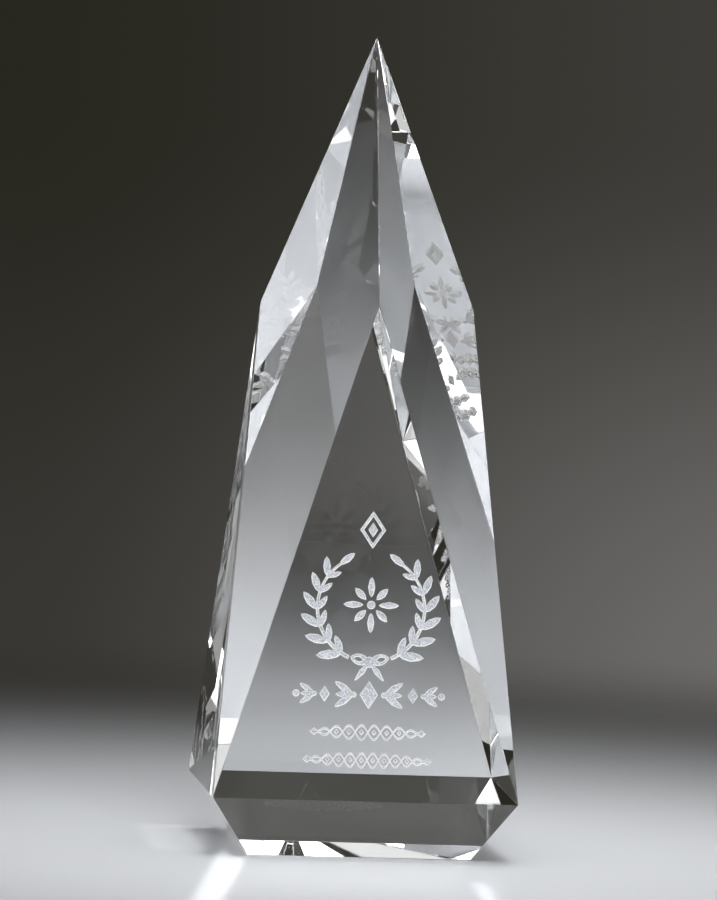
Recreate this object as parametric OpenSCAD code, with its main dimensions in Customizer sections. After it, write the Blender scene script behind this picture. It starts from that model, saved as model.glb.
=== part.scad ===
// Crystal award: a square obelisk cut from one block of clear optical glass.
// It stands on its foot, centred on the origin, with +Z up and its engraved face towards -Y.

/* [Block] */
// Height from the table to the point
total_h = 254; // [220:1:300]
// Width across the girdle, which is the widest square section
girdle_w = 94; // [86:1:104]
// Height of the girdle above the table
girdle_z = 18.5; // [14:0.5:24]
// Width of the square foot under the undercut
foot_w = 69; // [56:1:76]
// Height of the four shoulder points, where neighbouring corner facets meet
shoulder_z = 170; // [150:1:182]
// Width of the fine polished flat along every edge
arris_w = 0.4; // [0.2:0.1:0.8]

/* [Engraving] */
// Depth of the sandblasted recesses
engrave_depth = 0.8; // [0.5:0.1:1.2]
// Thickness of the abraded white layer on the floor of each recess
frost_t = 0.3; // [0.1:0.1:0.4]
// Least width of a blasted stroke
stroke_w = 0.8; // [0.6:0.1:1]
// Radius that the blast leaves on the tips and corners of the drawing
blast_r = 0.1; // [0.05:0.05:0.2]

/* [Wreath] */
// Height of the wreath's centre above the girdle, measured up the face
wreath_v = 59; // [56:1:64]
// Radius of the stems of the wreath
wreath_r = 16.5; // [15:0.5:17]
// Number of leaf pairs on each branch
leaf_pairs = 6; // [4:1:7]
// Length of the lowest leaf
leaf_len = 8.4; // [7:0.2:9]
// Width of the lowest leaf
leaf_w = 3; // [2:0.2:3.4]
// Length of an inner leaf as a share of the outer one beside it
inner_leaf = 0.74; // [0.6:0.02:0.8]
// Angle between a leaf and its stem
leaf_splay = 36; // [30:1:42]

/* [Ornament] */
// Height of the crest diamond above the girdle, measured up the face
crest_v = 83; // [81:1:88]
// Height of the foliate band above the girdle, measured up the face
band_v = 32.5; // [31:0.5:35]
// Height of the upper braided rule above the girdle
upper_rule_v = 21; // [19:0.5:22]
// Height of the lower braided rule above the girdle
lower_rule_v = 12.5; // [11:0.5:14]
// Length of the upper braided rule
upper_rule_len = 35; // [28:1:40]
// Length of the lower braided rule
lower_rule_len = 39; // [32:1:44]
// Half height of the braid
braid_amp = 2.2; // [1.8:0.1:2.4]

/* [Hidden] */

CRYSTAL = [0.80, 0.85, 0.88];
FROST = [0.93, 0.94, 0.96];

$fn = 48;
// Half width of the girdle and of the foot
girdle_r = girdle_w / 2;
foot_r = foot_w / 2;
// The corner facets all pass through the point, so the section above the shoulders is a square
// turned by 45 degrees. This is its half diagonal at the shoulders.
shoulder_r = girdle_w * (total_h - shoulder_z) / (total_h - girdle_z);
// Angle by which each tall triangular face leans back
face_lean = atan((girdle_r - shoulder_r) / (shoulder_z - girdle_z));
// Side of the cutting block, large enough to clear the crystal from any facet
cutter = 3 * total_h;

// Corners of the front, and of the right hand side next to it
apex = [0, 0, total_h];
front_shoulder = [0, -shoulder_r, shoulder_z];
right_shoulder = [shoulder_r, 0, shoulder_z];
left_girdle = [-girdle_r, -girdle_r, girdle_z];
right_girdle = [girdle_r, -girdle_r, girdle_z];
right_foot = [foot_r, -foot_r, 0];

function unit(v) = v / norm(v);
// Outward normal of the facet through three points that run counter-clockwise from outside
function facet(a, b, c) = unit(cross(b - a, c - a));
function quarter_turn(v) = [-v.y, v.x, v.z];
function mirror_x(v) = [-v.x, v.y, v.z];

face_n = facet(left_girdle, right_girdle, front_shoulder);
undercut_n = facet(left_girdle, right_foot, right_girdle);
kite_n = facet(front_shoulder, right_girdle, apex);
foot_n = [0, 0, -1];

// Outline of the braid: points along its length
braid_points = 72;

// Cuts away everything beyond a plane with outward normal n, at distance depth inside point p
module grind(n, p, depth = 0) {
    rotate([0, acos(n.z), atan2(n.y, n.x)])
        translate([-cutter / 2, -cutter / 2, n * p - depth])
            cube(cutter);
}

// Grinds the fine flat along the edge where facets n1 and n2 meet at point p
module arris(n1, n2, p) {
    half_angle = acos(n1 * n2) / 2;
    grind(unit(n1 + n2), p, arris_w / 2 * tan(half_angle));
}

// The facets and arrises of one quarter of the block
module quarter_cuts() {
    grind(face_n, front_shoulder);
    grind(undercut_n, right_foot);
    grind(kite_n, apex);
    arris(face_n, undercut_n, right_girdle);
    arris(foot_n, undercut_n, right_foot);
    arris(undercut_n, quarter_turn(undercut_n), right_girdle);
    arris(kite_n, quarter_turn(kite_n), right_shoulder);
    arris(kite_n, face_n, right_girdle);
    arris(mirror_x(kite_n), face_n, left_girdle);
}

// Places a flat drawing on the front face: origin at the middle of the girdle edge, Y up the face
module on_front_face(lift) {
    translate([0, -girdle_r, girdle_z])
        rotate([90 - face_lean, 0, 0])
            translate([0, 0, lift])
                children();
}

// Rounds the outward corners of a drawing
module blasted() {
    offset(r = blast_r, $fn = 16)
        offset(delta = -blast_r)
            children();
}

// The abraded layer that fills the bottom of a recess
module frost_layer() {
    color(FROST)
        on_front_face(-engrave_depth)
            linear_extrude(frost_t)
                blasted() children();
}

// Pointed leaf lying along +X from the origin: the overlap of two equal circles
module leaf(len, wid) {
    r = (len * len + wid * wid) / (4 * wid);
    translate([len / 2, 0])
        intersection() {
            translate([0, r - wid / 2]) circle(r);
            translate([0, wid / 2 - r]) circle(r);
        }
}

module lozenge(wid, hgt) {
    polygon([[wid / 2, 0], [0, hgt / 2], [-wid / 2, 0], [0, -hgt / 2]]);
}

// Stem of a branch: a curved band that narrows to its tip
module stem(a0, a1, w0, w1) {
    steps = 24;
    function at(i, side) = let (s = i / steps, a = a0 + (a1 - a0) * s, r = wreath_r + side * (w0 + (w1 - w0) * s) / 2)
        [r * cos(a), r * sin(a)];
    polygon(concat([for (i = [0:steps]) at(i, 1)], [for (i = [steps:-1:0]) at(i, -1)]));
}

// Right hand laurel branch: leaf pairs along the stem and one leaf at its tip
module laurel_branch() {
    a0 = -67;
    a1 = 52;
    // The lowest pair stands a little above the cut end of the stem
    first = a0 + 8;
    translate([0, wreath_v]) {
        stem(a0, a1 + 4, 1.6 * stroke_w, stroke_w);
        for (i = [0:leaf_pairs]) {
            a = first + (a1 - first) * i / leaf_pairs;
            taper = 1 - 0.26 * i / leaf_pairs;
            sides = i < leaf_pairs ? [-1, 1] : [0];
            for (side = sides) {
                size = side > 0 ? taper * inner_leaf : taper;
                rotate(a) translate([wreath_r, 0]) rotate(90 + side * leaf_splay)
                    leaf(leaf_len * size, leaf_w * size);
            }
        }
    }
}

// Knot with two loops and two tails at the foot of the wreath
module tie_outline() {
    knot_r = 1.7;
    loop_len = 6.2;
    tail_len = 7.5;
    translate([0, wreath_v - wreath_r]) {
        circle(knot_r);
        for (side = [0, 1]) mirror([side, 0]) {
            rotate(14) difference() {
                leaf(loop_len, 3.6);
                translate([2.2, 0]) leaf(loop_len - 3.4, 1.3);
            }
            rotate(-52) leaf(tail_len, 1.8);
        }
    }
}

module rosette_outline() {
    petals = 8;
    translate([0, wreath_v + 1]) {
        circle(1.3);
        for (i = [0:petals - 1]) rotate(i * 360 / petals + 90)
            translate([2.2, 0]) leaf(i % 2 == 0 ? 6.6 : 5, 2.2);
    }
}

// A lozenge ring round a smaller solid lozenge
module crest_outline() {
    translate([0, crest_v]) {
        difference() {
            lozenge(8, 11.6);
            lozenge(5.6, 8.2);
        }
        lozenge(3, 4.6);
    }
}

// Three leaves that spread from a round calyx, with the middle one shorter
module leaf_spray(len, wid) {
    calyx_r = 0.42 * wid;
    translate([calyx_r, 0]) {
        circle(calyx_r);
        for (turn = [-34, 34]) rotate(turn) leaf(len, wid);
        leaf(0.8 * len, 0.9 * wid);
    }
}

// Foliate band: lozenges and sprays of leaves, the same on both sides of the middle
module band_outline() {
    translate([0, band_v]) {
        lozenge(5.6, 8.8);
        for (side = [0, 1]) mirror([side, 0]) {
            translate([3.8, 0]) leaf_spray(7.2, 2.2);
            translate([13.6, 0]) lozenge(3.2, 5);
            translate([16, 0]) leaf_spray(5.6, 1.8);
            translate([22.4, 0]) circle(1.1);
        }
    }
}

// One strand of the braid: a sine wave of even width that flattens out towards both ends
module strand(len, waves, sign) {
    function height(s) = sign * braid_amp * sin(180 * s) ^ 0.5 * sin(360 * waves * s);
    function at(i, side) = let (s = i / braid_points) [(s - 0.5) * len, height(s) + side * stroke_w / 2];
    polygon(concat([for (i = [0:braid_points]) at(i, 1)], [for (i = [braid_points:-1:0]) at(i, -1)]));
}

// Braided rule: two strands that cross, a seed in each eye and a lozenge at each end
module braid_outline(v, len, waves) {
    eyes = 2 * waves;
    translate([0, v]) {
        strand(len, waves, 1);
        strand(len, waves, -1);
        for (i = [1:eyes - 2]) translate([((i + 0.5) / eyes - 0.5) * len, 0]) lozenge(1.5, 1.9);
        for (side = [-1, 1]) translate([side * (len / 2 + 1), 0]) lozenge(3, 2.4);
    }
}

module upper_rule_outline() { braid_outline(upper_rule_v, upper_rule_len - 4, 4); }
module lower_rule_outline() { braid_outline(lower_rule_v, lower_rule_len - 4, 5); }

// The whole engraving as one drawing
module engraving_outline() {
    laurel_branch();
    mirror([1, 0]) laurel_branch();
    tie_outline();
    rosette_outline();
    crest_outline();
    band_outline();
    upper_rule_outline();
    lower_rule_outline();
}

// The cut and polished block, with the blasted recesses in its front face
module crystal_block() {
    color(CRYSTAL)
        difference() {
            translate([-girdle_r, -girdle_r, 0]) cube([girdle_w, girdle_w, total_h]);
            for (turn = [0:90:270]) rotate(turn) quarter_cuts();
            on_front_face(-engrave_depth)
                linear_extrude(2 * engrave_depth)
                    blasted() engraving_outline();
        }
}

module wreath_left() { frost_layer() mirror([1, 0]) laurel_branch(); }
module wreath_right() { frost_layer() laurel_branch(); }
module wreath_tie() { frost_layer() tie_outline(); }
module rosette() { frost_layer() rosette_outline(); }
module crest_diamond() { frost_layer() crest_outline(); }
module foliate_band() { frost_layer() band_outline(); }
module upper_rule() { frost_layer() upper_rule_outline(); }
module lower_rule() { frost_layer() lower_rule_outline(); }

crystal_block();
wreath_left();
wreath_right();
wreath_tie();
rosette();
crest_diamond();
foliate_band();
upper_rule();
lower_rule();
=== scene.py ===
import math

import bmesh
import bpy
from mathutils import Matrix, Vector


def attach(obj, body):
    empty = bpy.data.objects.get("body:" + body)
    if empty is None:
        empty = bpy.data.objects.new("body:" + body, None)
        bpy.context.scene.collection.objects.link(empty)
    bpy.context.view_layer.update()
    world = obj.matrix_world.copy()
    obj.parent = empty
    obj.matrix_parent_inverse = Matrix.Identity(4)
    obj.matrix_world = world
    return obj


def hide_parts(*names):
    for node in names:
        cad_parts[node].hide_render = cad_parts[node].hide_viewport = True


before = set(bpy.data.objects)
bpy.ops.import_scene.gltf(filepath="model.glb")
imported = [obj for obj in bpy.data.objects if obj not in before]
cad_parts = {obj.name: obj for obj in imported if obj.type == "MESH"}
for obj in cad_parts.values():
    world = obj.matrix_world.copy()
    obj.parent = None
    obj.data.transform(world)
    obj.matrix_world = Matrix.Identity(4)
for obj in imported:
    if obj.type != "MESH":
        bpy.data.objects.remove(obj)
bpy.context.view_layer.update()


# --- Crystal block ---------------------------------------------------------------------------
# One block of clear optical glass, sawn square and then ground and polished facet by facet.
# Every edge is broken with a fine rounded arris, and the engraving is blasted into the front.
MM = 0.001
WELD = 0.001 * MM
GIRDLE_HALF = 47 * MM
GIRDLE_HEIGHT = 18.5 * MM
FOOT_HALF = 34.5 * MM
SHOULDER_HEIGHT = 170 * MM
POINT_HEIGHT = 254 * MM
ARRIS_WIDTH = 0.22 * MM
GLASS_TINT = (0.985, 0.995, 1.0, 1.0)
GLASS_IOR = 1.517

scene = bpy.context.scene
shoulder_half = 2 * GIRDLE_HALF * (POINT_HEIGHT - SHOULDER_HEIGHT) / (POINT_HEIGHT - GIRDLE_HEIGHT)
point = Vector((0, 0, POINT_HEIGHT))
front_shoulder = Vector((0, -shoulder_half, SHOULDER_HEIGHT))
left_girdle = Vector((-GIRDLE_HALF, -GIRDLE_HALF, GIRDLE_HEIGHT))
right_girdle = Vector((GIRDLE_HALF, -GIRDLE_HALF, GIRDLE_HEIGHT))
right_foot = Vector((FOOT_HALF, -FOOT_HALF, 0))


def facet_normal(a, b, c):
    """Outward normal of the facet through three corners that run counter-clockwise."""
    return (b - a).cross(c - a).normalized()


def grind(bm, on_plane, normal):
    """Grinds away everything beyond a plane and closes the flat that it leaves."""
    whole = bm.verts[:] + bm.edges[:] + bm.faces[:]
    cut = bmesh.ops.bisect_plane(
        bm, geom=whole, dist=1e-7, plane_co=on_plane, plane_no=normal, clear_outer=True
    )
    rim = [e for e in cut["geom_cut"] if isinstance(e, bmesh.types.BMEdge)]
    bmesh.ops.edgeloop_fill(bm, edges=rim)


def object_from(bm, name, materials):
    """Makes a bmesh an object at the origin, with the given materials."""
    mesh = bpy.data.meshes.new(name)
    bm.to_mesh(mesh)
    bm.free()
    for material in materials:
        mesh.materials.append(material)
    made = bpy.data.objects.new(name, mesh)
    scene.collection.objects.link(made)
    return made


def shader(name):
    """A new node material: its tree and its Principled shader."""
    material = bpy.data.materials.new(name)
    material.use_nodes = True
    return material, material.node_tree, material.node_tree.nodes["Principled BSDF"]


def clear_crystal():
    """Clear lead-free crystal: polished, very slightly cool in its depth."""
    material, tree, glass = shader("clear_crystal")
    glass.inputs["Base Color"].default_value = GLASS_TINT
    glass.inputs["Roughness"].default_value = 0.0
    glass.inputs["IOR"].default_value = GLASS_IOR
    glass.inputs["Transmission Weight"].default_value = 1.0
    return material


face_normal = facet_normal(left_girdle, right_girdle, front_shoulder)
undercut_normal = facet_normal(left_girdle, right_foot, right_girdle)
kite_normal = facet_normal(front_shoulder, right_girdle, point)

block = bmesh.new()
bmesh.ops.create_cube(
    block,
    size=1.0,
    matrix=Matrix.Translation((0, 0, POINT_HEIGHT / 2))
    @ Matrix.Diagonal((2 * GIRDLE_HALF, 2 * GIRDLE_HALF, POINT_HEIGHT, 1)),
)
for quarter in range(4):
    turn = Matrix.Rotation(quarter * math.pi / 2, 3, "Z")
    grind(block, turn @ front_shoulder, turn @ face_normal)
    grind(block, turn @ right_foot, turn @ undercut_normal)
    grind(block, turn @ point, turn @ kite_normal)
bmesh.ops.remove_doubles(block, verts=block.verts, dist=WELD)
bmesh.ops.recalc_face_normals(block, faces=block.faces)
bmesh.ops.bevel(
    block,
    geom=block.edges[:],
    affect="EDGES",
    offset=ARRIS_WIDTH,
    offset_type="WIDTH",
    segments=2,
    profile=0.5,
    material=-1,
)
crystal = object_from(block, "crystal", [clear_crystal()])


# --- Engraving -------------------------------------------------------------------------------
# The emblem is sandblasted through a resist, so each island is a shallow recess in the front face
# with a matte white floor and a sloping rim, whose colour is painted white as a painted highlight.
RECESS_DEPTH = 0.8 * MM
LAYER_MIDDLE = -0.8 * RECESS_DEPTH
RIM_BELOW_FACE = 0.02 * MM
RIM_WIDTH = 0.28 * MM
DISH_DEPTH = 0.15 * MM
SKIN = 0.02 * MM
ENGRAVED = [
    "wreath_left",
    "wreath_right",
    "wreath_tie",
    "rosette",
    "crest_diamond",
    "foliate_band",
    "upper_rule",
    "lower_rule",
]


def island(node):
    """A welded copy of an engraved node's solid, and the corners of its upper side."""
    bm = bmesh.new()
    bm.from_mesh(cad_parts[node].data)
    bmesh.ops.remove_doubles(bm, verts=bm.verts, dist=WELD)
    upper = [v for v in bm.verts if (v.co - front_shoulder).dot(face_normal) > LAYER_MIDDLE]
    return bm, upper


def raise_to(bm, corners, height):
    """Moves the corners square to the face, to a height above it."""
    for corner in corners:
        lift = height - (corner.co - front_shoulder).dot(face_normal)
        corner.co += lift * face_normal


def blasted():
    """Abraded glass: a soft matte white with the fine even grain that the grit leaves, its sloping
    rims painted white as a painted highlight.
    """
    material, tree, frost = shader("blasted_glass")
    nodes, links = tree.nodes, tree.links
    place = nodes.new("ShaderNodeTexCoord")
    grain = nodes.new("ShaderNodeTexNoise")
    grain.inputs["Scale"].default_value = 2500.0
    grain.inputs["Detail"].default_value = 3.0
    speck = nodes.new("ShaderNodeMapRange")
    speck.inputs["From Min"].default_value = 0.36
    speck.inputs["From Max"].default_value = 0.64
    tone = nodes.new("ShaderNodeMix")
    tone.data_type = "RGBA"
    tone.inputs[6].default_value = (0.42, 0.44, 0.49, 1)
    tone.inputs[7].default_value = (0.90, 0.92, 0.97, 1)
    # Painted highlight: where the true normal leans off the front face, on the sloping rims, the
    # colour is mixed toward white whatever the lamps do.
    shape = nodes.new("ShaderNodeNewGeometry")
    facing = nodes.new("ShaderNodeVectorMath")
    facing.operation = "DOT_PRODUCT"
    facing.inputs[1].default_value = face_normal
    rim_highlight_mask = nodes.new("ShaderNodeMapRange")
    rim_highlight_mask.inputs["From Min"].default_value = 0.97
    rim_highlight_mask.inputs["From Max"].default_value = 0.90
    painted_rim_highlight = nodes.new("ShaderNodeMix")
    painted_rim_highlight.data_type = "RGBA"
    painted_rim_highlight.inputs[7].default_value = (1, 1, 1, 1)
    bump = nodes.new("ShaderNodeBump")
    bump.inputs["Strength"].default_value = 0.5
    bump.inputs["Distance"].default_value = 0.06 * MM
    links.new(place.outputs["Object"], grain.inputs["Vector"])
    links.new(grain.outputs["Fac"], speck.inputs["Value"])
    links.new(speck.outputs["Result"], tone.inputs["Factor"])
    links.new(shape.outputs["True Normal"], facing.inputs[0])
    links.new(facing.outputs["Value"], rim_highlight_mask.inputs["Value"])
    links.new(rim_highlight_mask.outputs["Result"], painted_rim_highlight.inputs["Factor"])
    links.new(tone.outputs[2], painted_rim_highlight.inputs[6])
    links.new(painted_rim_highlight.outputs[2], frost.inputs["Base Color"])
    links.new(grain.outputs["Fac"], bump.inputs["Height"])
    links.new(bump.outputs["Normal"], frost.inputs["Normal"])
    frost.inputs["Roughness"].default_value = 0.6
    frost.inputs["Subsurface Weight"].default_value = 0.5
    frost.inputs["Subsurface Radius"].default_value = (1, 1, 1)
    frost.inputs["Subsurface Scale"].default_value = 0.4 * MM
    frost.inputs["IOR"].default_value = GLASS_IOR
    return material


blasted_glass = blasted()
cutters = bmesh.new()
for node in ENGRAVED:
    tool, upper = island(node)
    raise_to(tool, upper, RECESS_DEPTH)
    spare = bpy.data.meshes.new("spare")
    tool.to_mesh(spare)
    tool.free()
    cutters.from_mesh(spare)
    bpy.data.meshes.remove(spare)

    frosted, upper = island(node)
    raise_to(frosted, upper, -RIM_BELOW_FACE)
    tops = set(upper)
    lid = [f for f in frosted.faces if all(v in tops for v in f.verts)]
    bmesh.ops.inset_region(
        frosted, faces=lid, use_even_offset=False, thickness=RIM_WIDTH, depth=-DISH_DEPTH
    )
    frosted.normal_update()
    for corner in frosted.verts:
        corner.co += SKIN * corner.normal
    piece = object_from(frosted, node + "_frost", [blasted_glass])
    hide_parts(node)
    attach(piece, "root")

cutter = object_from(cutters, "cutter", [])
recess = crystal.modifiers.new("recess", "BOOLEAN")
recess.operation = "DIFFERENCE"
recess.solver = "EXACT"
recess.object = cutter
finished = crystal.evaluated_get(bpy.context.evaluated_depsgraph_get())
carved = bpy.data.meshes.new_from_object(finished)
crystal.modifiers.clear()
crystal.data = carved
bpy.data.objects.remove(cutter)
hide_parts("crystal_block")
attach(crystal, "root")


# --- Table -----------------------------------------------------------------------------------
# A plain pale table with a satin top, far wider than the award that stands on it. It fades into
# the dark of the studio all round, as painted shade for the light falling off, and lies a hair
# below the foot so the two never meet.
TABLE_RADIUS = 3.0
TABLE_GAP = 0.2 * MM
FADE_START = 0.3
FADE_END = 1.1


def table_top():
    """Satin pale paint that fades out with the distance from the award, as painted shade for the
    light falling off.
    """
    material, tree, top = shader("pale_table")
    nodes, links = tree.nodes, tree.links
    top.inputs["Base Color"].default_value = (0.74, 0.76, 0.80, 1)
    top.inputs["Roughness"].default_value = 0.25
    top.inputs["Specular IOR Level"].default_value = 0.5
    place = nodes.new("ShaderNodeTexCoord")
    reach = nodes.new("ShaderNodeVectorMath")
    reach.operation = "LENGTH"
    # Painted shade: with distance the top turns see-through so the dark backdrop shows, in place
    # of the light falling off.
    fade = nodes.new("ShaderNodeMapRange")
    fade.interpolation_type = "SMOOTHERSTEP"
    fade.inputs["From Min"].default_value = FADE_START
    fade.inputs["From Max"].default_value = FADE_END
    fade.inputs["To Min"].default_value = 1.0
    fade.inputs["To Max"].default_value = 0.0
    links.new(place.outputs["Object"], reach.inputs[0])
    links.new(reach.outputs["Value"], fade.inputs["Value"])
    links.new(fade.outputs["Result"], top.inputs["Alpha"])
    return material


table = bmesh.new()
bmesh.ops.create_circle(
    table,
    cap_ends=True,
    segments=96,
    radius=TABLE_RADIUS,
    matrix=Matrix.Translation((0, 0, -TABLE_GAP)),
)
floor = object_from(table, "table_top", [table_top()])


# --- Light -----------------------------------------------------------------------------------
# A soft box with a grid hangs over the award and makes a pool of light on the table. White
# cards stand round it, out of the picture, for the facets to pick up.
CARD_CENTRE = Vector((0, 0, 0.1))
SLIP_SPREAD = 30


def panel(name, width, length, power, spread, place):
    """A lit rectangle that the camera never sees; spread narrows its beam as a grid does."""
    light = bpy.data.lights.new(name, "AREA")
    light.shape = "RECTANGLE"
    light.size = width
    light.size_y = length
    light.energy = power
    light.spread = math.radians(spread)
    lamp = bpy.data.objects.new(name, light)
    scene.collection.objects.link(lamp)
    lamp.location = place
    lamp.visible_camera = False
    return lamp


def soft_box(name, size, power, place, aim, spread=180):
    """A panel turned toward the point it lights."""
    lamp = panel(name, size[0], size[1], power, spread, place)
    lamp.rotation_euler = (Vector(aim) - Vector(place)).to_track_quat("-Z", "Y").to_euler()
    return lamp


def card(name, width, height, brightness, azimuth, elevation, distance):
    """A lit card facing the award; azimuth runs from straight behind it toward its right."""
    around = math.radians(azimuth)
    above = math.radians(elevation)
    place = CARD_CENTRE + distance * Vector(
        (math.sin(around) * math.cos(above), math.cos(around) * math.cos(above), math.sin(above))
    )
    power = brightness * math.pi * width * height
    lamp = soft_box(name, (width, height), power, place, CARD_CENTRE)
    lamp.visible_diffuse = False


soft_box("overhead", (0.4, 0.4), 0.95, (0.02, 0.01, 0.52), (0.02, 0.01, 0.0), 95)
soft_box("front_high", (0.3, 0.2), 0.42, (0.03, -0.52, 0.72), (0, -0.04, 0.05), 50)
card("back_high", 1.3, 0.5, 0.65, 8, 32, 1.5)
card("back_top", 0.6, 0.36, 1.1, -8, 43, 1.3)
card("back_low", 1.2, 0.34, 0.04, 0, 10.5, 1.5)
card("right_rear", 0.40, 0.45, 0.45, 27, 5, 1.4)
card("left_rear", 0.25, 0.35, 1.0, -38, 31, 1.4)
card("front_left", 0.8, 0.7, 0.9, -147, 22, 1.4)
card("front_left_high", 0.5, 0.4, 0.9, -125, 53, 1.2)
card("right_side", 0.5, 0.9, 0.7, 57, 28, 1.3)


def slip(name, width, length, turn, place, brightness):
    """A slip of light that the glass throws on the table, or that lightens its own shadow."""
    lamp = panel(name, width, length, brightness * width * length, SLIP_SPREAD, place)
    lamp.rotation_euler.z = math.radians(turn)
    lamp.visible_glossy = False
    lamp.visible_transmission = False


slip("left_slip", 0.0085, 0.150, -8.2, (-0.0475, -0.0920, 0.008), 2.2)
slip("right_slip", 0.0045, 0.080, -3.0, (0.0265, -0.1380, 0.008), 1.6)
slip("left_shadow", 0.022, 0.080, 0.0, (-0.0520, 0.0150, 0.008), 0.7)


# --- Surroundings ----------------------------------------------------------------------------
# The studio behind the table is dark and a little brown, a plain painted backdrop without
# any edge or fold. It is lighter low down and to the right.
def surroundings():
    """The backdrop as a colour for every direction: two ramps to the side, joined by height."""
    world = bpy.data.worlds.new("studio")
    world.use_nodes = True
    nodes, links = world.node_tree.nodes, world.node_tree.links
    background = nodes["Background"]
    place = nodes.new("ShaderNodeTexCoord")
    split = nodes.new("ShaderNodeSeparateXYZ")
    height = nodes.new("ShaderNodeMapRange")
    height.interpolation_type = "SMOOTHSTEP"
    height.inputs["From Min"].default_value = -0.07
    height.inputs["From Max"].default_value = 0.04
    side = nodes.new("ShaderNodeMapRange")
    side.interpolation_type = "SMOOTHSTEP"
    side.inputs["From Min"].default_value = 0.04
    side.inputs["From Max"].default_value = 0.22
    low = nodes.new("ShaderNodeMix")
    low.data_type = "RGBA"
    low.inputs[6].default_value = (0.040, 0.038, 0.033, 1)
    low.inputs[7].default_value = (0.165, 0.162, 0.157, 1)
    high = nodes.new("ShaderNodeMix")
    high.data_type = "RGBA"
    high.inputs[6].default_value = (0.021, 0.020, 0.014, 1)
    high.inputs[7].default_value = (0.052, 0.050, 0.044, 1)
    fade = nodes.new("ShaderNodeMix")
    fade.data_type = "RGBA"
    links.new(place.outputs["Generated"], split.inputs[0])
    links.new(split.outputs["Z"], height.inputs["Value"])
    links.new(split.outputs["X"], side.inputs["Value"])
    links.new(side.outputs["Result"], low.inputs["Factor"])
    links.new(side.outputs["Result"], high.inputs["Factor"])
    links.new(height.outputs["Result"], fade.inputs["Factor"])
    links.new(low.outputs[2], fade.inputs[6])
    links.new(high.outputs[2], fade.inputs[7])
    links.new(fade.outputs[2], background.inputs["Color"])
    return world


scene.world = surroundings()


# --- Camera ----------------------------------------------------------------------------------
# A long lens, a little left of the front and just above the middle of the award, held very
# slightly out of level. Light passes through many facets before it leaves the block.
AZIMUTH = math.radians(-6.41)
ELEVATION = math.radians(1.73)
ROLL = math.radians(2.13)
DISTANCE = 1.619
AIM_HEIGHT = 0.1161
backwards = Vector(
    (
        math.sin(AZIMUTH) * math.cos(ELEVATION),
        -math.cos(AZIMUTH) * math.cos(ELEVATION),
        math.sin(ELEVATION),
    )
)
level = Vector((math.cos(AZIMUTH), math.sin(AZIMUTH), 0))
upright = backwards.cross(level)
lens = bpy.data.cameras.new("camera")
lens.sensor_width = 36
lens.lens = 206.4
lens.shift_x = -0.0026
lens.shift_y = 0.0298
camera = bpy.data.objects.new("camera", lens)
scene.collection.objects.link(camera)
turned = Matrix((level, upright, backwards)).transposed() @ Matrix.Rotation(ROLL, 3, "Z")
stand = Matrix.Translation(Vector((0, 0, AIM_HEIGHT)) + DISTANCE * backwards)
camera.matrix_world = stand @ turned.to_4x4()
scene.camera = camera

scene.cycles.max_bounces = 32
scene.cycles.glossy_bounces = 24
scene.cycles.transmission_bounces = 32
scene.cycles.transparent_max_bounces = 16
scene.cycles.use_denoising = True
scene.view_settings.view_transform = "Standard"
